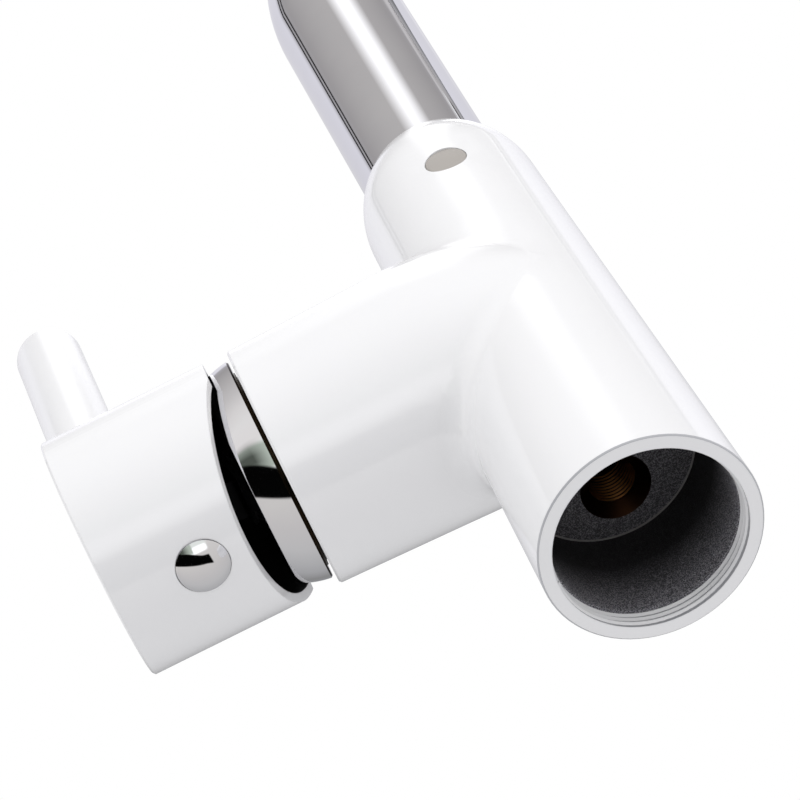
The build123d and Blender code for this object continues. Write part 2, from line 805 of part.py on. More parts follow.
# retaining nut: brass, clamps the cartridge and carries the dome ring
with BuildPart() as retaining_nut:
    with BuildSketch(branch_plane):
        with BuildLine():
            Polyline(
                (housing_end, nut_bore_r),
                (housing_end, nut_thread_r - nut_clear),
                (nut_flange_x, nut_thread_r - nut_clear),
                (nut_flange_x, nut_flange_r),
                (nut_end, nut_flange_r),
                (nut_end, nut_bore_r),
                close=True,
            )
        make_face()
    revolve(axis=branch_axis)
    with BuildSketch(branch_at(nut_end)):
        with PolarLocations((nut_bore_r + nut_flange_r) / 2, nut_notches):
            Rectangle(nut_flange_r, nut_notch_w)
    extrude(amount=-nut_notch_h, mode=Mode.SUBTRACT)
retaining_nut.part.label = "retaining_nut"
export_step(retaining_nut.part, "parts/retaining_nut.step")

# dome ring: chrome ring and shallow dome screwed on the nut, seen in the gap under the cap
with BuildPart() as dome_ring:
    with BuildSketch(branch_plane):
        with BuildLine():
            outside = EllipticalCenterArc(
                (nut_end, 0),
                shell_rise,
                shell_r,
                shell_out_angle,
                arc_size=shell_top_angle - shell_out_angle,
            )
            inside = EllipticalCenterArc(
                (nut_end, 0),
                shell_rise - shell_t,
                ring_bore_r,
                shell_in_angle,
                arc_size=90 - shell_in_angle,
            )
            face = TangentArc((ring_edge_x, ring_r), outside @ 1, tangent=(1, -ring_slope))
            Polyline(face @ 0, (ring_x, ring_r - ring_edge), (ring_x, ring_bore_r), inside @ 1)
            Line(outside @ 0, inside @ 0)
        make_face()
    revolve(axis=branch_axis)
dome_ring.part.label = "dome_ring"
export_step(dome_ring.part, "parts/dome_ring.step")

# handle cap: turned cap, its rim cut back on a slant below, with the hub of the stem inside
with BuildPart() as handle_cap:
    with BuildSketch(handle_at(cap_rim_x)):
        Circle(cap_r)
    extrude(amount=cap_end - cap_rim_x)
    chamfer(handle_cap.faces().sort_by(Axis.X)[-1].edges(), cap_edge)
    with BuildSketch(handle_at(cap_rim_x)):
        Circle(cap_bore_r)
    extrude(amount=cap_wall_x - cap_rim_x, mode=Mode.SUBTRACT)
    with BuildSketch(handle_side_plane):
        with BuildLine():
            Polyline(
                (cap_rim_x - cut_over, -cut_start),
                (cap_rim_x, -cut_start),
                (cap_rim_x + cut_slope * (cap_r + cut_over - cut_start), -cap_r - cut_over),
                (cap_rim_x - cut_over, -cap_r - cut_over),
                close=True,
            )
        make_face()
    extrude(amount=cap_r + cut_over, both=True, mode=Mode.SUBTRACT)
    with BuildSketch(handle_at(hub_x)):
        Circle(hub_r)
    extrude(amount=cap_wall_x - hub_x)
    with BuildSketch(button_at(hub_r - hub_bite)):
        Circle(screw_boss_r)
    extrude(amount=cap_bore_r + boss_bite - hub_r + hub_bite)
    with BuildSketch(handle_at(hub_x)):
        Rectangle(socket_side, socket_side)
    extrude(amount=socket_end - hub_x, mode=Mode.SUBTRACT)
    with BuildSketch(button_at(0)):
        Circle(screw_hole_r)
    extrude(amount=cap_r + cut_over, mode=Mode.SUBTRACT)
    with BuildSketch(button_at(button_seat)):
        Circle(button_seat_r)
    extrude(amount=cap_r + cut_over - button_seat, mode=Mode.SUBTRACT)
    with BuildSketch(lever_at(lever_hole_end)):
        Circle(lever_hole_r)
    extrude(amount=cap_r + cut_over - lever_hole_end, mode=Mode.SUBTRACT)
    with BuildSketch(lever_at(lever_foot)):
        Circle(lever_spot_r)
    extrude(amount=cap_r + cut_over - lever_foot, mode=Mode.SUBTRACT)
handle_cap.part.label = "handle_cap"
export_step(handle_cap.part, "parts/handle_cap.step")

# handle set screw: holds the hub on the stem
with BuildPart() as handle_set_screw:
    with BuildSketch(button_at(screw_bottom)):
        Circle(screw_r)
    extrude(amount=screw_top - screw_bottom)
    with BuildSketch(button_at(screw_top)):
        RegularPolygon(screw_hex / 2, 6, major_radius=False)
    extrude(amount=-screw_hex_depth, mode=Mode.SUBTRACT)
handle_set_screw.part.label = "handle_set_screw"
export_step(handle_set_screw.part, "parts/handle_set_screw.step")

# handle button: domed chrome cover of the set screw's hole
with BuildPart() as handle_button:
    with BuildSketch(Plane(origin=button_at(button_seat).origin, x_dir=(1, 0, 0), z_dir=side)):
        with BuildLine():
            crown = CenterArc((0, button_rise - crown_r), crown_r, 90 - crown_angle, crown_angle)
            Polyline(
                crown @ 1,
                (0, -button_peg_l),
                (button_peg_r, -button_peg_l),
                (button_peg_r, 0),
                (button_r, 0),
                crown @ 0,
            )
        make_face()
    revolve(axis=Axis(button_at(button_seat).origin, up))
handle_button.part.label = "handle_button"
export_step(handle_button.part, "parts/handle_button.step")

# lever: round pin screwed into the cap, with a narrowed foot and a rounded tip
with BuildPart() as lever_rod:
    with BuildSketch(Plane(origin=(lever_x, 0, branch_z), x_dir=side, z_dir=side.cross(lever_way))):
        with BuildLine():
            Polyline(
                (0, lever_thread_end),
                (lever_thread_r, lever_thread_end),
                (lever_thread_r, lever_foot),
                (lever_foot_r, lever_foot),
                (lever_r, lever_foot_end),
                (lever_r, lever_tip),
                (0, lever_tip),
                close=True,
            )
        make_face()
    revolve(axis=Axis((lever_x, 0, branch_z), lever_way))
    fillet(lever_rod.edges().sort_by(Axis.Z)[-1], lever_tip_fillet)
lever_rod.part.label = "lever_rod"
export_step(lever_rod.part, "parts/lever_rod.step")
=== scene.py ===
from math import asin, cos, pi, radians, sin, sqrt, tan

import bmesh
import bpy
from mathutils import Matrix, Vector


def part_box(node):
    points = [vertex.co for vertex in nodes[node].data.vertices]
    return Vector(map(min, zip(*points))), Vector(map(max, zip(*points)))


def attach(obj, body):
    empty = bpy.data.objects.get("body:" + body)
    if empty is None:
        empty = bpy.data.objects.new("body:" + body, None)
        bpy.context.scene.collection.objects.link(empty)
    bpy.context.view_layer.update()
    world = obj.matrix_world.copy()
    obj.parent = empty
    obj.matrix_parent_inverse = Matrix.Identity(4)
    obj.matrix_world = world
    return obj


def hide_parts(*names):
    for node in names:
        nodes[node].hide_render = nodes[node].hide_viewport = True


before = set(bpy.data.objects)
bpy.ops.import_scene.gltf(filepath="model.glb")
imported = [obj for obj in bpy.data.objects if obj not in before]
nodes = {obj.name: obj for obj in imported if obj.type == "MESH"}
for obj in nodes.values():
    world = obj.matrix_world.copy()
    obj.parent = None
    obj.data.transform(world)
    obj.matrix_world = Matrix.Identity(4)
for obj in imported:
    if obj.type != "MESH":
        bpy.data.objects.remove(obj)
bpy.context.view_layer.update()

mm = 0.001

# Camera: below and behind the tap, looking up the body from its foot with a long lens,
# so that the hollow foot and the plugged hole at the back show, as in the photograph.
camera_place = Vector((45.73, 452.19, -616.53)) * mm
camera_right = Vector((-0.8965, -0.3588, -0.2599))
camera_down = Vector((0.4426, -0.7530, -0.4869))
camera_up = -camera_down.normalized()
camera_side = (camera_right - camera_right.dot(camera_up) * camera_up).normalized()
camera_back = camera_side.cross(camera_up)
camera_turn = Matrix((camera_side, camera_up, camera_back)).transposed().to_4x4()
camera_data = bpy.data.cameras.new("camera")
camera_data.sensor_width = 36
camera_data.lens = 198.5
camera_data.shift_x = -0.0044
camera_data.shift_y = 0.0285
camera_data.clip_start = 0.01
camera_data.clip_end = 100
camera = bpy.data.objects.new("camera", camera_data)
bpy.context.collection.objects.link(camera)
camera.matrix_world = Matrix.Translation(camera_place) @ camera_turn
bpy.context.scene.camera = camera
bpy.context.scene.view_settings.view_transform = "Standard"

# World: a white studio. The camera and glass see it plain white, and the enamel gets an even
# light from it. What shines sees its walls, which grow dark towards the front and overhead,
# with a lamp and cards hung in it. A place in it is given in degrees round the X axis, with
# the floor at 0, the back at 90 and overhead at 180, and in degrees from there towards +X.
round_low = -120.0
round_high = 240.0
wall_tones = (
    (-120, "#959595"),
    (-100, "#B7B7B8"),
    (-85, "#C4C4C4"),
    (-60, "#D5D4D3"),
    (-30, "#DDDAD8"),
    (0, "#E5E2DE"),
    (45, "#ECE9E5"),
    (69, "#FFFBF8"),
    (95, "#FFFDFA"),
    (110, "#F6F3F0"),
    (130, "#DEDBD9"),
    (150, "#CCC9C7"),
    (175, "#B1AEAE"),
    (184, "#B7B5B8"),
    (189, "#F1F0F8"),
    (205, "#E4E3EA"),
    (209, "#E0DFE4"),
    (222, "#959699"),
    (240, "#959595"),
)


def srgb(code):
    """A colour written as on the screen, such as "#E0E0E0", in the values that a shader takes."""
    parts = [int(code[i:i + 2], 16) / 255 for i in (1, 3, 5)]
    return tuple(c / 12.92 if c <= 0.04045 else ((c + 0.055) / 1.055) ** 2.4 for c in parts) + (1,)


def feed(tree, node, inputs):
    """Gives a node's inputs their numbers and colours, or links them to other nodes' outputs."""
    for name, value in dict(inputs).items():
        if isinstance(value, bpy.types.NodeSocket):
            tree.links.new(value, node.inputs[name])
        else:
            node.inputs[name].default_value = value


def add(tree, kind, inputs=(), **settings):
    """A new node: settings are its own properties, inputs are numbers, colours or other nodes' outputs."""
    made = tree.nodes.new(kind)
    for name, value in settings.items():
        setattr(made, name, value)
    feed(tree, made, inputs)
    return made


world = bpy.data.worlds.new("studio")
bpy.context.scene.world = world
world.use_nodes = True
world.cycles.sampling_method = "NONE"
tree = world.node_tree
tree.nodes.clear()
way = add(tree, "ShaderNodeTexCoord").outputs["Generated"]
way = add(tree, "ShaderNodeSeparateXYZ", {0: way}).outputs
downward = add(tree, "ShaderNodeMath", {0: way["Z"], 1: -1.0}, operation="MULTIPLY").outputs[0]
round_x = add(tree, "ShaderNodeMath", {0: way["Y"], 1: downward}, operation="ARCTAN2").outputs[0]
round_x = add(tree, "ShaderNodeMath", {0: round_x}, operation="DEGREES").outputs[0]
round_x = add(tree, "ShaderNodeMath", {0: round_x, 1: round_high, 2: round_low}, operation="WRAP").outputs[0]
toward_x = add(tree, "ShaderNodeMath", {0: way["X"]}, operation="ARCSINE").outputs[0]
toward_x = add(tree, "ShaderNodeMath", {0: toward_x}, operation="DEGREES").outputs[0]
along = {"Value": round_x, "From Min": round_low, "From Max": round_high}
along = add(tree, "ShaderNodeMapRange", along).outputs[0]
walls = add(tree, "ShaderNodeValToRGB", {"Fac": along})
ramp = walls.color_ramp.elements
while len(ramp) < len(wall_tones):
    ramp.new(0.5)
for stop, (degrees_round, tone) in zip(ramp, wall_tones):
    stop.position = (degrees_round - round_low) / (round_high - round_low)
    stop.color = srgb(tone)


def card(room, tone, strength, round_span, toward_span, soft, lean=0.0):
    """The room with a card hung in it, which spans these degrees round X and towards X.

    Its edges are soft over so many degrees on each side, and its sides lean by so many degrees
    round X for each degree towards X.
    """
    leaning = {0: toward_x, 1: -lean, 2: round_x}
    leaning = add(tree, "ShaderNodeMath", leaning, operation="MULTIPLY_ADD").outputs[0]
    mask = 1.0
    for angle, (low, high) in ((leaning, round_span), (toward_x, toward_span)):
        for edge, inward in ((low, soft), (high, -soft)):
            inside = {"Value": angle, "From Min": edge - inward, "From Max": edge + inward}
            inside = add(tree, "ShaderNodeMapRange", inside).outputs[0]
            mask = add(tree, "ShaderNodeMath", {0: mask, 1: inside}, operation="MULTIPLY").outputs[0]
    colour = tuple(c * strength for c in srgb(tone)[:3]) + (1,)
    return add(tree, "ShaderNodeMix", {"Factor": mask, 6: room, 7: colour}, data_type="RGBA").outputs[2]


room = walls.outputs["Color"]
# A long lamp overhead, which the tube shows as its bright streak.
room = card(room, "#FFFFFF", 1.9, (148.5, 202), (-13.8, -1.2), 5.0)
# Two thin black strips overhead, towards the handle: the fine dark lines along the tube.
room = card(room, "#0B0B0D", 1.0, (183.4, 185.2), (20, 32), 0.3)
room = card(room, "#0B0B0D", 1.0, (179.6, 181.4), (20, 32), 0.3)
# A white card just over the camera, brightest in its lower half: the glint of ring and button.
room = card(room, "#F7FBF5", 1.1, (36, 69), (-30, 20), 4.0)
room = card(room, "#FFFFFF", 2.0, (34, 50), (-28, 15), 4.0)
# A greenish screen towards the handle, which darkens outwards: the grey end of the ring.
room = card(room, "#C9D3C6", 1.0, (34, 62), (8, 70), 2.5, 0.25)
room = card(room, "#5C625A", 1.0, (34, 60), (24, 70), 9.0, 0.25)
# A black card under the camera, of two leaning pieces: the black patches of ring and button.
room = card(room, "#050505", 1.0, (0, 25), (-26, 80), 1.5, 0.25)
room = card(room, "#050505", 1.0, (4, 28), (-26, 62), 1.5, 0.6)
ray = add(tree, "ShaderNodeLightPath").outputs
plain = {0: ray["Is Camera Ray"], 1: ray["Is Transmission Ray"]}
plain = add(tree, "ShaderNodeMath", plain, operation="MAXIMUM").outputs[0]
ambient = add(tree, "ShaderNodeBackground", {"Color": srgb("#F8F8F9"), "Strength": 0.82}).outputs[0]
backdrop = add(tree, "ShaderNodeBackground", {"Color": srgb("#FFFFFF"), "Strength": 1.0}).outputs[0]
mirrored = add(tree, "ShaderNodeBackground", {"Color": room, "Strength": 1.0}).outputs[0]
lit = add(tree, "ShaderNodeMixShader", {0: ray["Is Glossy Ray"], 1: ambient, 2: mirrored}).outputs[0]
shown = add(tree, "ShaderNodeMixShader", {0: plain, 1: lit, 2: backdrop}).outputs[0]
add(tree, "ShaderNodeOutputWorld", {"Surface": shown})

# Lamps: a broad soft key over the back of the body, as on a copy table, a weaker one from the
# side of the handle, and one over the user's side. Sizes are in metres and power in watts.
tap_middle = Vector((30, 0, 80)) * mm


def softbox(name, place, width, height, power):
    """A flat lamp that faces the middle of the tap and shows in no reflection."""
    data = bpy.data.lights.new(name, "AREA")
    data.shape = "RECTANGLE"
    data.size = width
    data.size_y = height
    data.energy = power
    lamp = bpy.data.objects.new(name, data)
    lamp.location = place
    lamp.rotation_euler = (tap_middle - Vector(place)).to_track_quat("-Z", "Y").to_euler()
    lamp.visible_glossy = False
    bpy.context.collection.objects.link(lamp)


softbox("key_lamp", (-0.75, 0.8, 0.3), width=0.9, height=0.7, power=5.8)
softbox("fill_lamp", (0.95, 0.5, 0.2), width=0.5, height=0.5, power=2.2)
softbox("front_lamp", (0.1, -0.9, 0.75), width=0.9, height=0.7, power=1.3)

# Floor: a wide floor in pale paint, far below the tap, which is held up by its foot and stands
# on nothing here. The chrome doesn't mirror it.
floor_depth = 2.6
floor_half = 12
floor_points = [
    (x * floor_half, y * floor_half, -floor_depth) for x, y in ((-1, -1), (1, -1), (1, 1), (-1, 1))
]
floor_mesh = bpy.data.meshes.new("floor")
floor_mesh.from_pydata(floor_points, [], [(0, 1, 2, 3)])
floor = bpy.data.objects.new("floor", floor_mesh)
bpy.context.collection.objects.link(floor)
floor_paint = bpy.data.materials.new("floor_paint")
floor_paint.use_nodes = True
floor_shader = floor_paint.node_tree.nodes["Principled BSDF"]
feed(floor_paint.node_tree, floor_shader, {"Base Color": srgb("#FAFAFB"), "Roughness": 0.6})
floor_mesh.materials.append(floor_paint)
floor.visible_glossy = False

# Body casting: one brass casting with the branch for the cartridge, enamelled white outside,
# left rough and dark grey in its hollow foot, with painted shade deeper in, and machined where parts screw
# or slide in.
mouth_r = 18.0 * mm
foot_r = 20.4 * mm
foot_bevel = 0.28 * mm
thread_h = 4.5 * mm
foot_floor = 28.4 * mm
cast_r = 17.4 * mm
cast_edge = 0.7 * mm
inlet_end = 60.0 * mm
column_bore_r = 14.4 * mm
column_bore_x = 14.5 * mm
branch_z = 71.5 * mm
branch_end = 52.3 * mm
branch_bore_r = 19.2 * mm
branch_bore_x = 14.0 * mm
slack = 0.05 * mm
hair = 0.01 * mm


def material(name):
    """A new material, its node tree, its shader and the place on the object in metres."""
    made = bpy.data.materials.new(name)
    made.use_nodes = True
    tree = made.node_tree
    place = add(tree, "ShaderNodeTexCoord").outputs["Object"]
    return made, tree, tree.nodes["Principled BSDF"], place


def clouded(tree, place, size, low, high, detail=2.0):
    """A colour or a number that runs from low to high over blotches of about size metres."""
    blotch = {"Vector": place, "Scale": 1 / size, "Detail": detail}
    blotch = add(tree, "ShaderNodeTexNoise", blotch).outputs["Fac"]
    if isinstance(low, tuple):
        return add(tree, "ShaderNodeMix", {"Factor": blotch, 6: low, 7: high}, data_type="RGBA").outputs[2]
    return add(tree, "ShaderNodeMapRange", {"Value": blotch, "To Min": low, "To Max": high}).outputs[0]


def relief(tree, height, strength, depth, edge=None):
    """Bumps of a depth in metres, over corners that the finish rounds by edge metres."""
    bump = {"Height": height, "Strength": strength, "Distance": depth}
    if edge:
        bump["Normal"] = add(tree, "ShaderNodeBevel", {"Radius": edge}, samples=6).outputs[0]
    return add(tree, "ShaderNodeBump", bump).outputs[0]


# Stove enamel, sprayed and baked: a hard gloss over a white coat, which runs round every
# corner and keeps a faint orange peel of about 2 mm. A grey copy of it is painted shade in
# the roots of the thread and a painted dark edge line on the foot's bevel.
def enamel_finish(name, pale="#F4F4F5", deep="#F0F0F1", gloss=0.8):
    made, tree, shader, place = material(name)
    peel = add(tree, "ShaderNodeTexNoise", {"Vector": place, "Scale": 1 / (1.8 * mm)}).outputs["Fac"]
    look = {
        "Base Color": clouded(tree, place, 30 * mm, srgb(deep), srgb(pale)),
        "Roughness": clouded(tree, place, 4 * mm, 0.20, 0.28),
        "Specular IOR Level": 0.3,
        "Coat Weight": gloss,
        "Coat Roughness": 0.03,
        "Normal": relief(tree, peel, 0.05, 0.03 * mm, 0.35 * mm),
    }
    feed(tree, shader, look)
    return made


# Sand-cast brass, left bare: a grain of about 0.25 mm with brighter specks, and a paler line
# where the floor was faced and left a burr at its edge. Painted shade darkens the wall to near
# black from 5 mm to 19 mm in from the mouth, and leaves the floor less dark.
def cast_finish(floor_z, floor_r):
    shade_start_depth = 5 * mm
    shade_darkest_depth = 19 * mm
    floor_shade_lift = 0.33
    floor_slack = 0.1 * mm
    burr_w = 0.35 * mm
    made, tree, shader, place = material("sand_cast_brass")
    grain = {"Vector": place, "Scale": 1 / (0.25 * mm), "Detail": 3.0, "Roughness": 0.7}
    grain = add(tree, "ShaderNodeTexNoise", grain).outputs["Fac"]
    speck = add(tree, "ShaderNodeMapRange", {"Value": grain, "From Min": 0.46, "From Max": 0.62}).outputs[0]
    cast = clouded(tree, place, 6 * mm, srgb("#4A494D"), srgb("#6B6A70"))
    cast = {"Factor": speck, 6: cast, 7: srgb("#D2D0D6")}
    cast = add(tree, "ShaderNodeMix", cast, data_type="RGBA").outputs[2]
    at = add(tree, "ShaderNodeSeparateXYZ", {0: place}).outputs
    # Painted shade: the wall goes from the cast colour to near black as it runs deeper into the foot.
    wall = {"Value": at["Z"], "From Min": shade_darkest_depth, "From Max": shade_start_depth, "To Min": 0.08}
    wall = add(tree, "ShaderNodeMapRange", wall).outputs[0]
    on_floor = {0: at["Z"], 1: floor_z - floor_slack}
    on_floor = add(tree, "ShaderNodeMath", on_floor, operation="GREATER_THAN").outputs[0]
    unshaded = {0: on_floor, 1: floor_shade_lift, 2: wall}
    unshaded = add(tree, "ShaderNodeMath", unshaded, operation="MULTIPLY_ADD").outputs[0]
    shaded_cast = {"Factor": unshaded, 6: srgb("#0E0E0F"), 7: cast}
    shaded_cast = add(tree, "ShaderNodeMix", shaded_cast, data_type="RGBA").outputs[2]
    flat = add(tree, "ShaderNodeCombineXYZ", {"X": at["X"], "Y": at["Y"]}).outputs[0]
    reach = add(tree, "ShaderNodeVectorMath", {0: flat}, operation="LENGTH").outputs["Value"]
    at_edge = {0: reach, 1: floor_r - burr_w}
    at_edge = add(tree, "ShaderNodeMath", at_edge, operation="GREATER_THAN").outputs[0]
    burr = add(tree, "ShaderNodeMath", {0: at_edge, 1: on_floor}, operation="MULTIPLY").outputs[0]
    colour = {"Factor": burr, 6: shaded_cast, 7: srgb("#8F8D8C")}
    dull = {"Value": grain, "To Min": 0.45, "To Max": 0.8}
    look = {
        "Base Color": add(tree, "ShaderNodeMix", colour, data_type="RGBA").outputs[2],
        "Roughness": add(tree, "ShaderNodeMapRange", dull).outputs[0],
        "Metallic": 0.35,
        "Normal": relief(tree, grain, 0.7, 0.15 * mm),
    }
    feed(tree, shader, look)
    return made


# Machined metal: turning lines round the axis that it was turned on, and slight staining. The
# lines are drawn a few tenths of a millimetre apart, because real ones are too fine to show.
# The wave pattern has about 3.2 lines in a unit of its own.
def machined_finish(name, pale, deep, axis, line_step=0.4 * mm):
    lines_in_a_unit = 3.2
    made, tree, shader, place = material(name)
    lines = {"Vector": place, "Scale": 1 / (line_step * lines_in_a_unit), "Distortion": 0.3}
    lines = add(tree, "ShaderNodeTexWave", lines, bands_direction=axis).outputs["Fac"]
    look = {
        "Base Color": clouded(tree, place, 5 * mm, srgb(pale), srgb(deep), 3.0),
        "Roughness": clouded(tree, place, 5 * mm, 0.22, 0.42, 3.0),
        "Metallic": 1.0,
        "Normal": relief(tree, lines, 0.12, 0.02 * mm, 0.1 * mm),
    }
    feed(tree, shader, look)
    return made


def dressed(node, name, *finishes):
    """The CAD node's own shape, its corners joined and its normals kept, as a new piece in its place."""
    weld = 0.0001 * mm
    crease = radians(28)
    mesh = nodes[node].data.copy()
    mesh.name = name
    normals = [corner.vector.copy() for corner in mesh.corner_normals]
    work = bmesh.new()
    work.from_mesh(mesh)
    faces = len(work.faces)
    bmesh.ops.remove_doubles(work, verts=work.verts, dist=weld)
    kept = len(work.faces) == faces
    work.to_mesh(mesh)
    work.free()
    mesh.polygons.foreach_set("use_smooth", [True] * len(mesh.polygons))
    if kept:
        mesh.normals_split_custom_set(normals)
    else:
        mesh.set_sharp_from_angle(angle=crease)
    mesh.materials.clear()
    for finish in finishes:
        mesh.materials.append(finish)
    piece = bpy.data.objects.new(name, mesh)
    bpy.context.collection.objects.link(piece)
    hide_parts(node)
    return piece


enamel = enamel_finish("white_enamel")
cast_brass = cast_finish(foot_floor, cast_r)
brass_up = machined_finish("turned_brass_upright", "#C9A463", "#9C7A43", "Z")
brass_across = machined_finish("turned_brass_across", "#C9A463", "#9C7A43", "X")
# The sinks of the inlets: a dull brown brass tone, painted near black as the shade of the deep holes.
stained_brass = machined_finish("stained_brass", "#3A2416", "#1F130B", "Z", 0.6 * mm)
# The end of the branch and the nut are painted near black: painted shade in the gap behind the ring.
shade_black_brass = machined_finish("blackened_brass", "#33291C", "#1F1912", "X")
# A grey copy of the enamel: painted shade in the thread's roots and a painted dark edge line on the foot's
# bevel.
thin_enamel = enamel_finish("thin_enamel", "#B4B5B9", "#BDBEC2")
finishes = (enamel, cast_brass, brass_across, stained_brass, brass_up, shade_black_brass, thin_enamel)
casting = dressed("body_casting", "casting", *finishes)
outside, rough, across, inlet, upright, shaded_end, shade_grey = range(len(finishes))
for face in casting.data.polygons:
    x, y, z = face.center
    from_axis = sqrt(x * x + y * y)
    from_branch = sqrt(y * y + (z - branch_z) ** 2)
    in_foot = from_axis < cast_r + cast_edge and thread_h - hair < z < foot_floor + slack
    in_column = from_axis < column_bore_r and x < column_bore_x and z > foot_floor
    on_thread = from_axis < mouth_r + slack and z < thread_h
    on_bevel = from_axis > foot_r + hair and z < foot_bevel
    in_branch = from_branch < branch_bore_r and x > branch_bore_x
    if in_foot:
        face.material_index = rough
    elif in_column:
        # The inlet sinks take the near-black brass, which is painted shade.
        face.material_index = inlet if z < inlet_end else upright
    # The branch's end face in near-black brass: painted shade.
    elif x > branch_end - slack:
        face.material_index = shaded_end
    # Thread roots and the foot's bevel: painted shade in grey enamel.
    elif on_thread or on_bevel:
        face.material_index = shade_grey
    elif in_branch:
        face.material_index = across
    else:
        face.material_index = outside
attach(casting, "body")

# Thread in the mouth: nearly three fine turns cut in the casting for the clamping ring and
# enamelled over. A ridge follows a helix and runs out to nothing at both ends.
mouth_thread_start = 0.8 * mm
mouth_thread_r = mouth_r + 0.1 * mm
mouth_pitch = 1.35 * mm
mouth_turns = 2.7
mouth_ridge = 0.55 * mm


def thread_tree():
    """A threaded ridge by Geometry Nodes, round Z from the origin up."""
    run_out_from = 0.42
    tree = bpy.data.node_groups.new("thread_ridge", "GeometryNodeTree")
    tree.interface.new_socket("Geometry", in_out="OUTPUT", socket_type="NodeSocketGeometry")
    for name in ("Radius", "Pitch", "Turns", "Depth"):
        tree.interface.new_socket(name, in_out="INPUT", socket_type="NodeSocketFloat")
    tree.interface.new_socket("Finish", in_out="INPUT", socket_type="NodeSocketMaterial")
    size = add(tree, "NodeGroupInput").outputs
    height = {0: size["Pitch"], 1: size["Turns"]}
    height = add(tree, "ShaderNodeMath", height, operation="MULTIPLY").outputs[0]
    helix = {
        "Resolution": 96,
        "Rotations": size["Turns"],
        "Start Radius": size["Radius"],
        "End Radius": size["Radius"],
        "Height": height,
    }
    helix = add(tree, "GeometryNodeCurveSpiral", helix).outputs[0]
    along = add(tree, "GeometryNodeSplineParameter").outputs["Factor"]
    from_middle = add(tree, "ShaderNodeMath", {0: along, 1: 0.5}, operation="SUBTRACT").outputs[0]
    from_middle = add(tree, "ShaderNodeMath", {0: from_middle}, operation="ABSOLUTE").outputs[0]
    run_out = {"Value": from_middle, "From Min": 0.5, "From Max": run_out_from}
    run_out = add(tree, "ShaderNodeMapRange", run_out).outputs[0]
    helix = add(tree, "GeometryNodeSetCurveNormal", {"Curve": helix}, mode="Z_UP").outputs[0]
    helix = add(tree, "GeometryNodeSetCurveRadius", {"Curve": helix, "Radius": run_out}).outputs[0]
    section = {"Resolution": 4, "Radius": size["Depth"]}
    section = add(tree, "GeometryNodeCurvePrimitiveCircle", section).outputs[0]
    swept = {"Curve": helix, "Profile Curve": section, "Fill Caps": True}
    swept = add(tree, "GeometryNodeCurveToMesh", swept).outputs[0]
    flat = add(tree, "GeometryNodeSetShadeSmooth", {"Geometry": swept, "Shade Smooth": False}).outputs[0]
    whole = add(tree, "GeometryNodeRealizeInstances", {"Geometry": flat}).outputs[0]
    done = add(tree, "GeometryNodeSetMaterial", {"Geometry": whole, "Material": size["Finish"]}).outputs[0]
    add(tree, "NodeGroupOutput", {"Geometry": done})
    return tree


def grown(name, tree, start=None, **inputs):
    """What a Geometry Nodes tree makes of its inputs, as a plain mesh."""
    seed = bpy.data.objects.new(name + "_seed", start or bpy.data.meshes.new(name + "_seed"))
    bpy.context.collection.objects.link(seed)
    maker = seed.modifiers.new("maker", "NODES")
    maker.node_group = tree
    for item in tree.interface.items_tree:
        if item.in_out == "INPUT" and item.name.replace(" ", "_") in inputs:
            maker[item.identifier] = inputs[item.name.replace(" ", "_")]
    graph = bpy.context.evaluated_depsgraph_get()
    mesh = bpy.data.meshes.new_from_object(seed.evaluated_get(graph), depsgraph=graph)
    mesh.name = name
    bpy.data.objects.remove(seed)
    return mesh


def threaded(name, places, **sizes):
    """The same turns of thread at each of these places, as one new object turned outwards."""
    work = bmesh.new()
    for place in places:
        turns = grown(name + "_turns", thread_ridge, **sizes)
        turns.transform(Matrix.Translation(place))
        work.from_mesh(turns)
    bmesh.ops.recalc_face_normals(work, faces=work.faces)
    mesh = bpy.data.meshes.new(name)
    work.to_mesh(mesh)
    work.free()
    mesh.materials.append(sizes["Finish"])
    piece = bpy.data.objects.new(name, mesh)
    bpy.context.collection.objects.link(piece)
    return piece


thread_ridge = thread_tree()
mouth_thread = threaded(
    "mouth_thread",
    [(0, 0, mouth_thread_start)],
    Radius=mouth_thread_r,
    Pitch=mouth_pitch,
    Turns=mouth_turns,
    Depth=mouth_ridge,
    Finish=enamel,
)
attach(mouth_thread, "body")

# Inlet threads: M10 x 1 tapped in the floor of the mouth for the two supply hoses, in bare
# brass that has gone a warm brown and still glints on its crests.
inlet_y = 6.9 * mm
inlet_start = 31.0 * mm
inlet_thread_r = 4.55 * mm
inlet_pitch = 1.0 * mm
inlet_turns = 8.5
inlet_ridge = 0.33 * mm
worn_brass = machined_finish("worn_brass", "#B5824F", "#7E5430", "Z", 0.6 * mm)
inlet_threads = threaded(
    "inlet_threads",
    [(0, -inlet_y, inlet_start), (0, inlet_y, inlet_start)],
    Radius=inlet_thread_r,
    Pitch=inlet_pitch,
    Turns=inlet_turns,
    Depth=inlet_ridge,
    Finish=worn_brass,
)
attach(inlet_threads, "body")

# Hole plug: a grey plastic disc with a rolled edge and a pip on its back, pressed into the hole
# over the screw that keeps the spout in.
plug_turn = radians(96)
plug_way = Vector((cos(plug_turn), sin(plug_turn), 0))
plug_height = 116.0 * mm
plug_seat = 16.99 * mm
plug_r = 4.12 * mm
plug_h = 1.0 * mm
plug_edge = 0.3 * mm
pip_r = 1.0 * mm
pip_l = 1.0 * mm
corner_steps = 6
on_axis = 1e-7


# Moulded plastic, such as ABS, acetal and nylon: an even, half dull colour with a fine eroded
# grain of about 0.5 mm.
def plastic_finish(name, pale, deep, rough):
    made, tree, shader, place = material(name)
    grain = {"Vector": place, "Scale": 1 / (0.5 * mm), "Detail": 3.0}
    grain = add(tree, "ShaderNodeTexNoise", grain).outputs["Fac"]
    look = {
        "Base Color": clouded(tree, place, 8 * mm, srgb(pale), srgb(deep)),
        "Roughness": clouded(tree, place, 0.5 * mm, rough - 0.06, rough + 0.06, 3.0),
        "Normal": relief(tree, grain, 0.15, 0.03 * mm, 0.12 * mm),
    }
    feed(tree, shader, look)
    return made


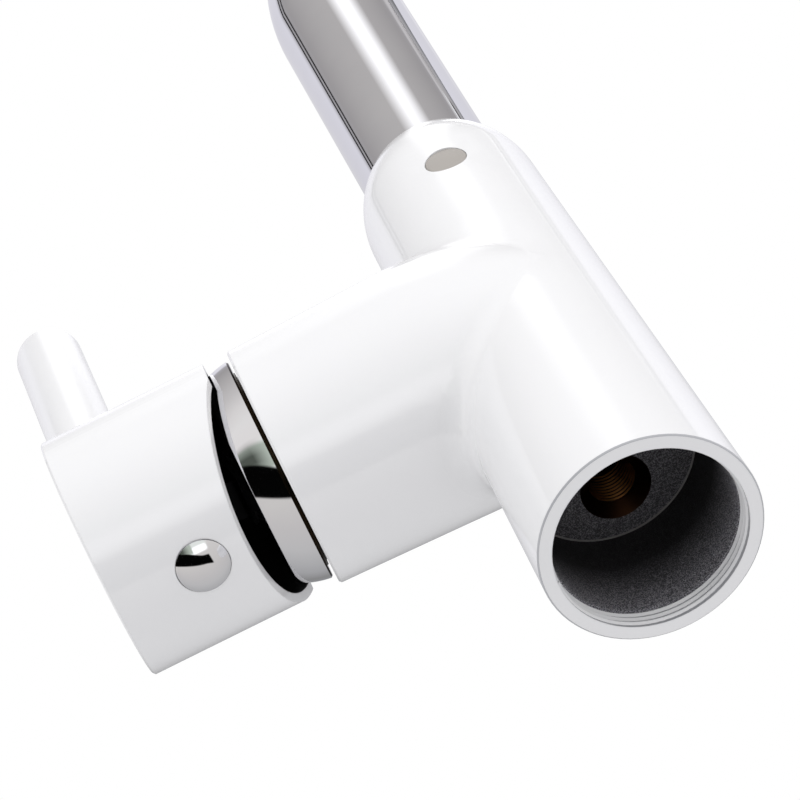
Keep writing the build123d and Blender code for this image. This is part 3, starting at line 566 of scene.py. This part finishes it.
def rounded(profile):
    """The profile's points, with an arc in place of each corner that has a rounding."""
    outline = []
    for i, (along, radius, rounding) in enumerate(profile):
        corner = Vector((along, radius))
        if not rounding:
            outline.append(corner)
            continue
        before = (Vector(profile[i - 1][:2]) - corner).normalized()
        after = (Vector(profile[(i + 1) % len(profile)][:2]) - corner).normalized()
        half = before.angle(after) / 2
        middle = corner + (before + after).normalized() * (rounding / sin(half))
        first = corner + before * (rounding / tan(half)) - middle
        last = corner + after * (rounding / tan(half)) - middle
        turn = first.angle_signed(last)
        for k in range(corner_steps + 1):
            outline.append(middle + Matrix.Rotation(-turn * k / corner_steps, 2) @ first)
    return outline


def turned(name, profile, centre, axis, finish, steps=96):
    """A turned piece: profile points are (along the axis, radius, rounding), in order round its section."""
    crease = radians(32)
    axis_way = Vector(axis).normalized()
    side_way = axis_way.orthogonal().normalized()
    cross_way = axis_way.cross(side_way)
    work = bmesh.new()
    rings = []
    for along, radius in rounded(profile):
        middle = Vector(centre) + axis_way * along
        if radius < on_axis:
            rings.append([work.verts.new(middle)])
            continue
        ring = []
        for k in range(steps):
            spin = 2 * pi * k / steps
            out = side_way * cos(spin) + cross_way * sin(spin)
            ring.append(work.verts.new(middle + out * radius))
        rings.append(ring)
    pairs = list(zip(rings, rings[1:]))
    if profile[0][1] > on_axis:
        pairs.append((rings[-1], rings[0]))
    # A ring on the axis is one corner, so the faces that meet it are triangles.
    for low, high in pairs:
        for k in range(steps):
            n = (k + 1) % steps
            corners = [low[k % len(low)], low[n % len(low)], high[n % len(high)], high[k % len(high)]]
            corners = list(dict.fromkeys(corners))
            if len(corners) > 2:
                work.faces.new(corners)
    bmesh.ops.recalc_face_normals(work, faces=work.faces)
    mesh = bpy.data.meshes.new(name)
    work.to_mesh(mesh)
    work.free()
    mesh.polygons.foreach_set("use_smooth", [True] * len(mesh.polygons))
    mesh.set_sharp_from_angle(angle=crease)
    mesh.materials.append(finish)
    piece = bpy.data.objects.new(name, mesh)
    bpy.context.collection.objects.link(piece)
    return piece


grey_abs = plastic_finish("grey_abs", "#AEA9A3", "#A29D98", 0.45)
plug = turned(
    "plug",
    [
        (-pip_l, 0, 0),
        (-pip_l, pip_r, plug_edge),
        (0, pip_r, 0),
        (0, plug_r, 0),
        (plug_h, plug_r, plug_edge),
        (plug_h, 0, 0),
    ],
    plug_way * plug_seat + Vector((0, 0, plug_height)),
    plug_way,
    grey_abs,
)
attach(plug, "body")
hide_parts("hole_plug")

# Spout retaining screw: a steel dog-point set screw under the plug, which runs in the tail's
# groove. It is turned and left bright.
bright_steel = machined_finish("turned_steel", "#B4B6B8", "#8E9092", "X", 0.3 * mm)


def carried(finish, *names):
    """CAD nodes that stay as they are, in a finish of their own."""
    for name in names:
        nodes[name].material_slots[0].material = finish


carried(bright_steel, "spout_retaining_screw")

# Spout: a drawn brass tube, bent to a swan neck, polished and chromed. A ring of its section
# follows the rise, the half turn and the drop.
tube_r = 13.8 * mm
tube_wall = 1.0 * mm
tube_crease = radians(40)
bend_r = 90.0 * mm
reach = 2 * bend_r
tube_end = 193.0 * mm
tube_low, tube_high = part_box("spout_tube")
tube_foot = tube_low[2]
bend_top = tube_high[2] - tube_r


# Chrome on polished brass: a clear mirror with the faint clouding of the polishing wheel.
def chrome_finish():
    made, tree, shader, place = material("chrome_plate")
    look = {
        "Base Color": clouded(tree, place, 9 * mm, srgb("#DDDDE0"), srgb("#D6D6DA"), 3.0),
        "Roughness": clouded(tree, place, 9 * mm, 0.035, 0.065, 3.0),
        "Metallic": 1.0,
    }
    feed(tree, shader, look)
    return made


def tube_tree():
    """A round tube along the curve that it is given, its corners bent to one radius."""
    tree = bpy.data.node_groups.new("bent_tube", "GeometryNodeTree")
    tree.interface.new_socket("Geometry", in_out="OUTPUT", socket_type="NodeSocketGeometry")
    tree.interface.new_socket("Path", in_out="INPUT", socket_type="NodeSocketGeometry")
    for name in ("Radius", "Bend Radius"):
        tree.interface.new_socket(name, in_out="INPUT", socket_type="NodeSocketFloat")
    tree.interface.new_socket("Finish", in_out="INPUT", socket_type="NodeSocketMaterial")
    size = add(tree, "NodeGroupInput").outputs
    bend = {"Curve": size["Path"], "Radius": size["Bend Radius"], "Count": 48, "Limit Radius": False}
    bent = add(tree, "GeometryNodeFilletCurve", bend, mode="POLY").outputs[0]
    section = {"Resolution": 128, "Radius": size["Radius"]}
    section = add(tree, "GeometryNodeCurvePrimitiveCircle", section).outputs[0]
    drawn = add(tree, "GeometryNodeCurveToMesh", {"Curve": bent, "Profile Curve": section}).outputs[0]
    smooth = add(tree, "GeometryNodeSetShadeSmooth", {"Geometry": drawn, "Shade Smooth": True}).outputs[0]
    whole = add(tree, "GeometryNodeRealizeInstances", {"Geometry": smooth}).outputs[0]
    done = add(tree, "GeometryNodeSetMaterial", {"Geometry": whole, "Material": size["Finish"]}).outputs[0]
    add(tree, "NodeGroupOutput", {"Geometry": done})
    return tree


chrome = chrome_finish()
path = bpy.data.curves.new("spout_path", "CURVE")
path.dimensions = "3D"
corners = [(0, 0, tube_foot), (0, 0, bend_top), (-reach, 0, bend_top), (-reach, 0, tube_end)]
spline = path.splines.new("POLY")
spline.points.add(len(corners) - 1)
for point, corner in zip(spline.points, corners):
    point.co = (*corner, 1)
tube_mesh = grown("spout", tube_tree(), path, Radius=tube_r, Bend_Radius=bend_r, Finish=chrome)
spout = bpy.data.objects.new("spout", tube_mesh)
bpy.context.collection.objects.link(spout)
wall = spout.modifiers.new("wall", "SOLIDIFY")
wall.thickness = tube_wall
wall.offset = -1
graph = bpy.context.evaluated_depsgraph_get()
spout.data = bpy.data.meshes.new_from_object(spout.evaluated_get(graph), depsgraph=graph)
spout.modifiers.clear()
spout.data.set_sharp_from_angle(angle=tube_crease)
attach(spout, "spout")
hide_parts("spout_tube")

# Spout tail and its rings: a turned brass bush soldered in the tube, two rubber O-rings, and a
# white acetal glide ring and thrust ring that it turns on.
white_acetal = plastic_finish("white_acetal", "#EDEBE6", "#E2E0DA", 0.38)
carried(brass_up, "spout_tail")
carried(white_acetal, "glide_ring", "thrust_ring")


# Nitrile rubber: near black, with the dull bloom of moulding.
def rubber_finish():
    made, tree, shader, place = material("nitrile_rubber")
    skin = add(tree, "ShaderNodeTexNoise", {"Vector": place, "Scale": 1 / (0.4 * mm)}).outputs["Fac"]
    look = {
        "Base Color": clouded(tree, place, 3 * mm, srgb("#1A1A1B"), srgb("#29292A"), 3.0),
        "Roughness": clouded(tree, place, 3 * mm, 0.5, 0.68, 3.0),
        "Normal": relief(tree, skin, 0.2, 0.02 * mm),
    }
    feed(tree, shader, look)
    return made


carried(rubber_finish(), "tail_o_rings", "aerator_washer", "base_seals")

# Outlet: a brass socket soldered in the end of the tube, and the chromed aerator collar
# screwed into it with its honeycomb insert of grey acetal.
collar_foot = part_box("aerator_housing")[0][2]
collar_l = 9.9 * mm
groove_start = 3.0 * mm
groove_end = 3.6 * mm
groove_r = tube_r - 0.35 * mm
neck_r = 10.9 * mm
neck_end = 17.9 * mm
collar_bore_r = 9.3 * mm
lip_h = 1.5 * mm
lip_r = 8.6 * mm
lip_edge = 0.2 * mm
foot_edge = 0.7 * mm
collar_edge = 0.25 * mm
neck_edge = 0.4 * mm
carried(brass_up, "outlet_socket")
collar = turned(
    "aerator_collar",
    [
        (0, lip_r, lip_edge),
        (0, tube_r, foot_edge),
        (groove_start, tube_r, 0),
        (groove_start, groove_r, 0),
        (groove_end, groove_r, 0),
        (groove_end, tube_r, 0),
        (collar_l, tube_r, collar_edge),
        (collar_l, neck_r, 0),
        (neck_end, neck_r, neck_edge),
        (neck_end, collar_bore_r, 0),
        (lip_h, collar_bore_r, 0),
        (lip_h, lip_r, 0),
    ],
    (-reach, 0, collar_foot),
    (0, 0, 1),
    chrome,
    steps=128,
)
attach(collar, "spout")
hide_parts("aerator_housing")
grey_acetal = plastic_finish("grey_acetal", "#8F9296", "#7E8185", 0.4)
carried(grey_acetal, "aerator_insert")

# Cartridge: an acetal base in a grey nylon housing, two lapped ceramic discs with a black nylon
# carrier between them and the stem, and a rotor of the same nylon that turns in the snout.
black_nylon = plastic_finish("black_nylon", "#1B1B1D", "#232326", 0.42)
grey_nylon = plastic_finish("grey_nylon", "#9EA0A3", "#8D8F93", 0.45)
carried(white_acetal, "cartridge_base")
carried(grey_nylon, "cartridge_housing")
carried(black_nylon, "disc_carrier", "rotor")


# Lapped alumina: off-white, dense, and smooth as glass on its faces.
def ceramic_finish():
    made, tree, shader, place = material("lapped_alumina")
    lapping = add(tree, "ShaderNodeTexNoise", {"Vector": place, "Scale": 1 / (0.5 * mm)}).outputs["Fac"]
    look = {
        "Base Color": clouded(tree, place, 3 * mm, srgb("#F1EEE6"), srgb("#E8E4DA")),
        "Roughness": clouded(tree, place, 1 * mm, 0.10, 0.18),
        "Normal": relief(tree, lapping, 0.05, 0.01 * mm, 0.1 * mm),
    }
    feed(tree, shader, look)
    return made


carried(ceramic_finish(), "fixed_disc", "moving_disc")

# Stem and pivot pin: a turned stem, painted near black as the shade it stands in behind the
# ring, on a bright ground pin.
shade_black_steel = machined_finish("blackened_steel", "#1E1E20", "#131314", "X", 0.3 * mm)
carried(shade_black_steel, "stem")
carried(bright_steel, "pivot_pin")

# Retaining nut: turned brass, painted near black as the shade behind the ring, notched for its
# key, screwed into the branch over the cartridge.
carried(shade_black_brass, "retaining_nut")

# Dome ring: a pressed and chromed brass ring with a shallow dome, which covers the nut and
# closes the branch under the cap. Its section goes up the curved face, over the dome to the
# hole in its middle, and back inside.
ring_start = 52.85 * mm
ring_start_r = 22.05 * mm
ring_in_r = 20.0 * mm
face_start = Vector((53.2, 22.4)) * mm
face_end = Vector((59.3, 20.52)) * mm
face_in = Vector((-0.12, -1)).normalized()
face_edge = 0.6 * mm
dome_start = 56.0 * mm
dome_r = 21.8 * mm
dome_rim_r = 17.5 * mm
dome_rise = 7.0 * mm
dome_hole = 11.4 * mm
dome_wall = 1.0 * mm
arc_steps = 24


def face_arc():
    """Points of the face, on an arc to its end whose centre lies from its start along face_in."""
    chord = face_end - face_start
    face_r = chord.length_squared / (2 * chord.dot(face_in))
    middle = face_start + face_in * face_r
    sweep = (face_start - middle).angle(face_end - middle)
    points = []
    for k in range(arc_steps):
        point = middle + Matrix.Rotation(-sweep * k / arc_steps, 2) @ (face_start - middle)
        points.append((point.x, point.y, 0))
    return points


def dome_arc(radius, rise, start=pi / 2):
    """Points of the dome's section, from this angle off its axis to the hole in its middle."""
    hole = asin(dome_hole / radius)
    angles = [start + (hole - start) * k / arc_steps for k in range(arc_steps + 1)]
    return [(dome_start + rise * cos(a), radius * sin(a), 0) for a in angles]


dome = turned(
    "dome_ring",
    [
        (ring_start, ring_in_r, 0),
        (ring_start, ring_start_r, 0),
        *face_arc(),
        (face_end.x, face_end.y, face_edge),
        *dome_arc(dome_r, dome_rise, asin(dome_rim_r / dome_r)),
        *reversed(dome_arc(ring_in_r, dome_rise - dome_wall)),
    ],
    (0, 0, branch_z),
    (1, 0, 0),
    chrome,
    steps=160,
)
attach(dome, "body")
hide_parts("dome_ring")

# Handle cap: a zinc casting enamelled like the body, bare inside and painted near black there
# as shade, with the hub that takes the stem.
cap_inside_r = 22.25 * mm
cap_inside_end = 90.35 * mm


# Die-cast zinc, bare, in a near-black colour that is painted shade: dull, with soft flow marks.
def shade_black_zinc_finish():
    made, tree, shader, place = material("die_cast_zinc")
    skin = add(tree, "ShaderNodeTexNoise", {"Vector": place, "Scale": 1 / (0.6 * mm)}).outputs["Fac"]
    look = {
        "Base Color": clouded(tree, place, 7 * mm, srgb("#1D1D1F"), srgb("#2C2C2E"), 4.0),
        "Roughness": clouded(tree, place, 7 * mm, 0.5, 0.7, 4.0),
        "Metallic": 0.4,
        "Normal": relief(tree, skin, 0.3, 0.05 * mm),
    }
    feed(tree, shader, look)
    return made


cap = dressed("handle_cap", "cap", enamel, shade_black_zinc_finish())
# Faces inside the cap take the near-black zinc, which is painted shade.
for face in cap.data.polygons:
    x, y, z = face.center
    from_branch = sqrt(y * y + (z - branch_z) ** 2)
    face.material_index = 1 if from_branch < cap_inside_r and x < cap_inside_end else 0
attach(cap, "handle")

# Handle button and set screw: a domed chrome button snapped over the steel screw that grips
# the stem. The handle stands turned a little from upright, as in the photograph.
handle_turn = radians(9.7)
handle_up = Vector((0, -sin(handle_turn), cos(handle_turn)))
button_x = 73.0 * mm
button_seat = 23.4 * mm
button_r = 5.1 * mm
button_rim = 0.1 * mm
button_side = 0.5 * mm
shank_r = 2.4 * mm
shank_l = 4.0 * mm
shank_edge = 0.4 * mm
crown_h = 1.8 * mm
crown_r = (button_r**2 + crown_h**2) / (2 * crown_h)
crown_angle = asin(button_r / crown_r)
crown_steps = 12
crown = []
for k in range(crown_steps + 1):
    angle = crown_angle * (1 - k / crown_steps)
    crown.append((button_side + crown_h - crown_r * (1 - cos(angle)), crown_r * sin(angle), 0))
button = turned(
    "button",
    [
        (-shank_l, 0, 0),
        (-shank_l, shank_r, shank_edge),
        (0, shank_r, 0),
        (0, button_r, button_rim),
        *crown,
    ],
    Vector((button_x, 0, branch_z)) - handle_up * button_seat,
    -handle_up,
    chrome,
)
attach(button, "handle")
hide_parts("handle_button")
carried(bright_steel, "handle_set_screw")

# Lever: a round zinc pin with a narrowed foot and a rounded tip, screwed into the cap. It is
# dipped in the same enamel, which leaves a softer gloss. Its heights are from the branch's axis.
lever_x = 84.7 * mm
lever_lean = radians(1.06)
lever_foot = 12.6 * mm
lever_foot_r = 4.0 * mm
lever_neck = 23.4 * mm
lever_neck_r = 4.8 * mm
lever_taper = 29.5 * mm
lever_end = 105.5 * mm
lever_r = 6.9 * mm
lever_foot_edge = 0.5 * mm
lever_neck_edge = 0.2 * mm
lever_shoulder = 3.0 * mm
lever_tip = 2.0 * mm
lever = turned(
    "lever",
    [
        (lever_foot, 0, 0),
        (lever_foot, lever_foot_r, lever_foot_edge),
        (lever_neck, lever_foot_r, 0),
        (lever_neck, lever_neck_r, lever_neck_edge),
        (lever_taper, lever_r, lever_shoulder),
        (lever_end, lever_r, lever_tip),
        (lever_end, 0, 0),
    ],
    (lever_x, 0, branch_z),
    handle_up * cos(lever_lean) + Vector((1, 0, 0)) * sin(lever_lean),
    enamel_finish("dipped_enamel", gloss=0.25),
)
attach(lever, "handle")
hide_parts("lever_rod")
